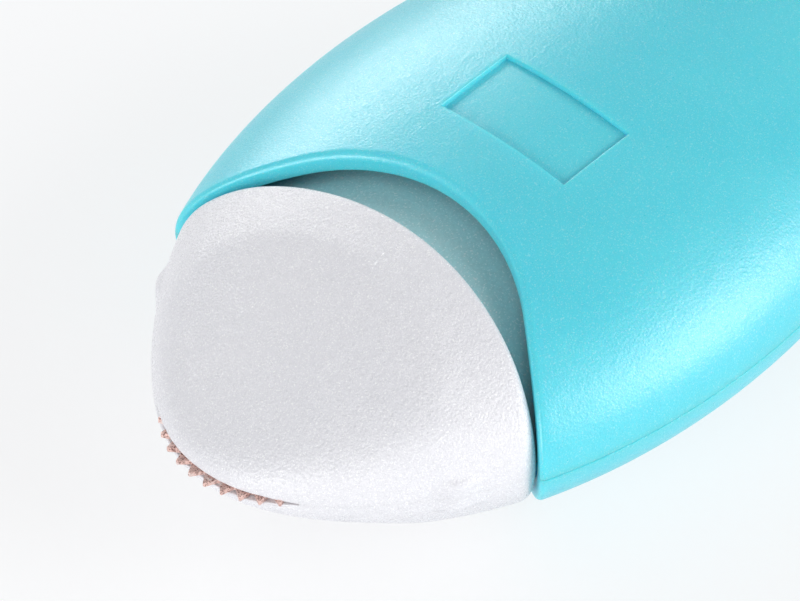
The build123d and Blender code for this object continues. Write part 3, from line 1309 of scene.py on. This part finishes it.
    def cast(self, turn: Array, rise: Array, deep: float) -> Array:
        """Distance from the middle of the nose to its skin along rays.

        Args:
            turn: angles in plan.
            rise: angles above the mid plane.
            deep: how far under the skin to stop.

        Returns:
            One distance for each ray.
        """
        step = np.stack([np.cos(turn) * np.cos(rise), np.sin(turn) * np.cos(rise), np.sin(rise)])
        low = np.zeros_like(turn)
        high = np.full_like(turn, self.ray_reach)
        for _ in range(30):
            middle = (low + high) / 2
            inside = self.level(self.ray_x + step[0] * middle, step[1] * middle, step[2] * middle)
            low = np.where(inside + deep < 0, middle, low)
            high = np.where(inside + deep < 0, high, middle)
        return (low + high) / 2

    def skin(self, count: int, deep: float) -> Array:
        """Places on the upper half of the nose, evenly spaced along each profile.

        Args:
            count: places on each profile, from the middle of the dish to the mid plane.
            deep: how far under the skin they lie.

        Returns:
            Rows by columns by three, measured from the wheel's centre.
        """
        turns = np.linspace(-math.pi, math.pi, self.columns + 1)
        rises = np.linspace(math.pi / 2, 0, self.ray_rows)
        turn, rise = np.meshgrid(turns, rises)
        reach = self.cast(turn, rise, deep)
        x = self.ray_x + reach * np.cos(turn) * np.cos(rise)
        y = reach * np.sin(turn) * np.cos(rise)
        z = reach * np.sin(rise)
        dense = np.stack([x, y, z], axis=2)
        gaps = np.linalg.norm(np.diff(dense, axis=0), axis=2)
        run = np.vstack([np.zeros(self.columns + 1), np.cumsum(gaps, axis=0)])
        places = np.empty((count, self.columns + 1, 3))
        for column in range(self.columns + 1):
            wanted = np.linspace(0, run[-1, column], count)
            for axis in range(3):
                places[:, column, axis] = np.interp(wanted, run[:, column], dense[:, column, axis])
        return places

    def placed(self, places: Array, side: Half) -> Array:
        """Places measured from the wheel, put into the tool's frame."""
        wheel = np.array([self.pebble.wheel_x, 0, self.pebble.mid])
        return places * np.array([1, 1, side.value]) + wheel

    def shell(self, side: Half) -> Object:
        """Hollow half of the nose, closed at the mid plane.

        Args:
            side: which half.

        Returns:
            The closed half, with its share of the slot.
        """
        outer = self.skin(self.rows, 0.0)
        inner = self.skin(self.inner_rows, self.wall)
        places = np.vstack([outer, inner[::-1]])
        piece = bent_grid("nose", self.placed(places, side))
        weld(piece)
        face_out(piece)
        slot = drum(
            "slot",
            self.slot_radius,
            self.pebble.mid - self.slot_half,
            self.pebble.mid + self.slot_half,
            (self.pebble.wheel_x, 0),
            self.slot_sides,
            "TRIFAN",
        )
        self.taper(slot)
        carve(piece, slot)
        return piece

    def taper(self, slot: Object) -> None:
        """Let the slot get thinner towards both of its ends.

        Args:
            slot: drum that cuts the slot.
        """
        places = points_of(slot)
        ahead = np.arctan2(np.abs(places[:, 1]), self.pebble.wheel_x - places[:, 0])
        rim = np.hypot(places[:, 0] - self.pebble.wheel_x, places[:, 1]) > 1
        share = np.clip((np.degrees(ahead) - self.slot_even) / self.slot_fade, 0, 1) * rim
        height = (places[:, 2] - self.pebble.mid) * (1 - self.slot_thinning * share)
        places[:, 2] = self.pebble.mid + height
        move_points(slot, places)

    def neck(self, side: Half) -> Object:
        """Half of the straight neck that slides in the handle.

        Args:
            side: which half.

        Returns:
            The closed half of the neck.
        """
        start, end, edge = self.neck_start, self.neck_end, self.neck_round
        wide, high = self.neck_half_width, self.neck_half_thick
        section = (
            (start, 0.0), (end - edge, 0.0), (end, edge),
            (end, self.wall), (start, self.wall), (start, 0.0),
        )
        rows = [oval(x, wide - shrink, high - shrink, self.neck_columns) for x, shrink in section]
        piece = bent_grid("neck", self.placed(np.stack(rows), side))
        seal(piece)
        return piece

    def paint_neck_teal_shade(self, piece: Object, neck_teal_shade: Material) -> None:
        """Give the neck of a half its clearer plastic, whose teal tint is painted shade and bounce
        light from the turquoise handle.

        Args:
            piece: half of the cartridge.
            neck_teal_shade: clearer plastic, tinted teal as painted shade and bounce light.
        """
        piece.data.materials.append(neck_teal_shade)
        centres = face_centres(piece) - np.array([self.pebble.wheel_x, 0, self.pebble.mid])
        outside = self.level(centres[:, 0], centres[:, 1], centres[:, 2]) > self.skin_slack
        # Every neck face gets the teal plastic, whose tint is painted shade and bounce light from
        # the handle.
        piece.data.polygons.foreach_set("material_index", outside.astype(int))
        piece.data.update()

    def build(self, plastic: Material, neck_teal_shade: Material) -> list[Object]:
        """Build and dress both halves.

        Args:
            plastic: the cartridge's material.
            neck_teal_shade: the clearer plastic of its neck, whose teal tint is painted shade and
                bounce light.

        Returns:
            The upper and the lower half.
        """
        halves = []
        for side, name, node in (
            (Half.UPPER, "cartridge_upper_half", "cartridge_top_shell"),
            (Half.LOWER, "cartridge_lower_half", "cartridge_bottom_shell"),
        ):
            piece = self.shell(side)
            piece.name = piece.data.name = name
            join(piece, self.neck(side))
            dress(piece, plastic, "cartridge", "cartridge_plastic", node, angle=28.0)
            self.paint_neck_teal_shade(piece, neck_teal_shade)
            halves.append(piece)
        return halves


# ---------------------------------------------------------------- the wheel


@dataclass
class ToothedDisc:
    """Stamped disc with triangular teeth that carries the chalk to the cloth."""

    pebble: Pebble = field(default_factory=Pebble)
    radius: float = 10.0
    teeth: int = 38
    tooth_depth: float = 1.0
    base_width: float = 1.35
    tip_width: float = 0.16
    thickness: float = 0.5
    bore: float = 2.42
    edge: float = 0.05

    def build(self, copper: Material) -> Object:
        """Build and dress the disc.

        Args:
            copper: the disc's material.

        Returns:
            The finished disc.
        """
        root = self.radius - self.tooth_depth
        put_down()
        bpy.ops.mesh.primitive_circle_add(
            vertices=self.teeth * 6, radius=root * MM, fill_type="NOTHING"
        )
        disc = bpy.context.object
        disc.name = disc.data.name = "toothed_disc"
        pitch = 2 * math.pi / self.teeth
        base = self.base_width / 2 / root
        tip = self.tip_width / 2 / self.radius
        turns = (-pitch / 2, -base, -tip, tip, base, pitch / 2 * 0.9)
        reach = (root, root, self.radius, self.radius, root, root)
        bottom = self.pebble.mid - self.thickness / 2
        places = []
        for tooth in range(self.teeth):
            middle = math.pi + pitch / 2 + tooth * pitch
            for turn, away in zip(turns, reach):
                x = self.pebble.wheel_x + away * math.cos(middle + turn)
                places.append((x, away * math.sin(middle + turn), bottom))
        move_points(disc, np.array(places))
        open_all(disc)
        bpy.ops.mesh.edge_face_add()
        rise = (0, 0, self.thickness * MM)
        bpy.ops.mesh.extrude_region_move(TRANSFORM_OT_translate={"value": rise})
        put_down()
        face_out(disc)
        start, end = edge_ends(disc)
        flat = np.abs(start[:, 2] - end[:, 2]) < 0.01
        mark(disc, Part.EDGES, flat)
        bpy.ops.mesh.bevel(offset=self.edge * MM, segments=2, affect="EDGES")
        put_down()
        mid = self.pebble.mid
        carve(disc, drum("bore", self.bore, mid - 3, mid + 3, (self.pebble.wheel_x, 0), 64))
        dress(disc, copper, "wheel", "wheel_copper", "chalk_wheel", angle=25.0)
        return disc


# ---------------------------------------------------------------- studio


@dataclass
class Studio:
    """Camera, pale floor and soft lamps."""

    wheel: tuple[float, float, float] = (-30.834, 0.0, 11.75)
    azimuth: float = -47.12
    elevation: float = 46.0
    distance: float = 600.0
    scale: float = 12.39
    wheel_pixel: tuple[float, float] = (281.92, 413.03)
    frame: tuple[float, float] = (800.0, 601.0)
    floor_z: float = -0.02
    floor_glow: float = 0.7
    room_fill: float = 0.37
    lamps: tuple[tuple[str, tuple[float, float, float], tuple[float, float], float], ...] = (
        ("soft_box_right", (0.38, -0.68, 0.36), (0.6, 0.5), 5.2),
        ("soft_box_back", (0.36, 0.7, 0.28), (0.45, 0.24), 3.0),
        ("soft_box_left", (-0.72, -0.1, 0.28), (0.4, 0.3), 3.0),
    )

    def camera(self) -> None:
        """Set the camera where the photograph was taken from."""
        turn, rise = math.radians(self.azimuth), math.radians(self.elevation)
        level = math.cos(rise)
        ahead = Vector((-math.sin(turn) * level, math.cos(turn) * level, -math.sin(rise)))
        right = Vector((math.cos(turn), math.sin(turn), 0))
        up = right.cross(ahead)
        focus = self.scale * self.distance
        aside = (self.wheel_pixel[0] - self.frame[0] / 2) / focus * self.distance
        above = -(self.wheel_pixel[1] - self.frame[1] / 2) / focus * self.distance
        place = Vector(self.wheel) - self.distance * ahead - aside * right - above * up
        data = bpy.data.cameras.new("camera")
        data.sensor_width = 36.0
        data.lens = focus / self.frame[0] * data.sensor_width
        data.clip_start = 0.01
        data.clip_end = 20.0
        camera = bpy.data.objects.new("camera", data)
        bpy.context.scene.collection.objects.link(camera)
        turned = Matrix((right, up, -ahead)).transposed().to_4x4()
        camera.matrix_world = Matrix.Translation(place * MM) @ turned
        bpy.context.scene.camera = camera

    def floor(self) -> None:
        """Lay the pale floor, which keeps a soft shadow."""
        put_down()
        bpy.ops.mesh.primitive_plane_add(size=4.0, location=(0, 0, self.floor_z * MM))
        ground = bpy.context.object
        ground.name = "floor"
        sketch = Sketch("pale_floor")
        path = sketch.add("ShaderNodeLightPath")
        seen = sketch.sum(path.outputs["Is Camera Ray"], path.outputs["Is Glossy Ray"], "MAXIMUM")
        seen = sketch.sum(seen, path.outputs["Is Transmission Ray"], "MAXIMUM")
        matt = sketch.add("ShaderNodeBsdfDiffuse", Color=(0.95, 0.96, 0.98, 1.0))
        glow = sketch.add("ShaderNodeEmission", Color=(1.0, 1.0, 1.0, 1.0), Strength=1.0)
        mixed = sketch.add("ShaderNodeMixShader")
        sketch.feed(mixed.inputs[0], sketch.sum(seen, self.floor_glow, "MULTIPLY"))
        sketch.feed(mixed.inputs[1], matt.outputs[0])
        sketch.feed(mixed.inputs[2], glow.outputs[0])
        sketch.tree.links.new(mixed.outputs[0], sketch.output.inputs["Surface"])
        ground.data.materials.append(sketch.material)

    def world(self) -> None:
        """Fill the room with even light, and show it white."""
        world = bpy.data.worlds.new("room")
        bpy.context.scene.world = world
        world.use_nodes = True
        tree = world.node_tree
        tree.nodes.clear()
        output = tree.nodes.new("ShaderNodeOutputWorld")
        fill = tree.nodes.new("ShaderNodeBackground")
        fill.inputs["Color"].default_value = (0.95, 0.97, 1.0, 1.0)
        fill.inputs["Strength"].default_value = self.room_fill
        white = tree.nodes.new("ShaderNodeBackground")
        white.inputs["Color"].default_value = (1.0, 1.0, 1.0, 1.0)
        white.inputs["Strength"].default_value = 1.0
        path = tree.nodes.new("ShaderNodeLightPath")
        mixed = tree.nodes.new("ShaderNodeMixShader")
        tree.links.new(path.outputs["Is Camera Ray"], mixed.inputs[0])
        tree.links.new(fill.outputs[0], mixed.inputs[1])
        tree.links.new(white.outputs[0], mixed.inputs[2])
        tree.links.new(mixed.outputs[0], output.inputs["Surface"])

    def lamp(
        self, name: str, place: tuple[float, float, float], size: tuple[float, float], power: float
    ) -> None:
        """Hang a soft box that looks at the tool.

        Args:
            name: name of the lamp.
            place: where it hangs, in metres.
            size: its width and height, in metres.
            power: its power in watts.
        """
        data = bpy.data.lights.new(name, "AREA")
        data.shape = "RECTANGLE"
        data.size, data.size_y = size
        data.energy = power
        lamp = bpy.data.objects.new(name, data)
        bpy.context.scene.collection.objects.link(lamp)
        lamp.location = place
        aim = Vector((-0.01, 0.0, 0.012)) - Vector(place)
        lamp.rotation_euler = aim.to_track_quat("-Z", "Y").to_euler()

    def build(self) -> None:
        """Set up the camera, the floor and the lamps."""
        self.camera()
        self.floor()
        self.world()
        for lamp in self.lamps:
            self.lamp(*lamp)


# ---------------------------------------------------------------- the solids that stay


@dataclass
class InnerPieces:
    """The small pieces that keep their solids and only get their finish."""

    def build(self, nodes: dict[str, Object]) -> None:
        """Paint each solid.

        Args:
            nodes: the solids by name.
        """
        natural = SmoothPlastic("natural_plastic", (238, 235, 226), (226, 222, 210), 0.28).make()
        pale = SmoothPlastic("pale_plastic", (225, 227, 231), (210, 213, 220), 0.3).make()
        cap = SparkGrainPlastic(
            "cap_plastic", (232, 233, 236), (214, 217, 224), depth=0.006
        ).make()
        felt = DryMatter("wool_felt", (226, 223, 212), (190, 186, 174), 0.12, 0.09).make()
        powder = DryMatter(
            "chalk_powder", (248, 248, 245), (228, 229, 229), 0.1, 0.12, 0.96
        ).make()
        rubber = DryMatter("soft_rubber", (196, 201, 205), (176, 182, 188), 0.2, 0.012, 0.6).make()
        steel = GroundSteel().make()
        plan = {
            "cartridge_end_cap": cap,
            "filler_stopper": rubber,
            "chalk_charge": powder,
            "wheel_hub": pale,
            "hub_ring": pale,
            "axle_pin": steel,
            "axle_bush_top": natural,
            "axle_bush_bottom": natural,
            "wiper_felt_top": felt,
            "wiper_felt_bottom": felt,
        }
        for name, material in plan.items():
            solid = nodes[name]
            solid.data.materials.clear()
            solid.data.materials.append(material)
            log.info("%s: painted with %s", name, material.name)


def main() -> None:
    """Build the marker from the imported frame, dress it and set the studio up."""
    logging.basicConfig(level=logging.INFO, format="%(name)s %(message)s")
    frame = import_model()
    bpy.context.scene.view_settings.view_transform = "Standard"
    turquoise = SparkGrainPlastic(
        "turquoise_plastic", (90, 219, 233), (74, 212, 229), roughness=0.36, gleam=1.0, depth=0.03,
        grain=0.2, pit_shade_share=0.16, painted_glint_share=0.2, glow=0.6, glow_reach=2.0,
        glow_radius=(0.15, 0.8, 1.0),
    ).make()
    white = SparkGrainPlastic(
        "white_plastic", (240, 239, 243), (233, 233, 238), roughness=0.3, gleam=0.9, depth=0.075,
        grain=0.2, pit_shade_share=0.42, painted_glint_share=1.0, glow=0.15, glow_reach=0.4,
    ).make()
    # The neck's teal tint is painted shade and turquoise bounce light from the handle around it.
    neck_teal_shade = SparkGrainPlastic(
        "neck_teal_shade_plastic", (180, 222, 226), (166, 214, 219), pit_shade_share=0.3, painted_glint_share=0.4,
        glow=0.6, glow_reach=2.5, glow_radius=(0.3, 0.9, 1.0),
    ).make()
    Handle().build(turquoise)
    Nose().build(white, neck_teal_shade)
    ToothedDisc().build(StampedCopper().make())
    InnerPieces().build(frame["nodes"])
    Studio().build()


if __name__ == "__main__":
    main()
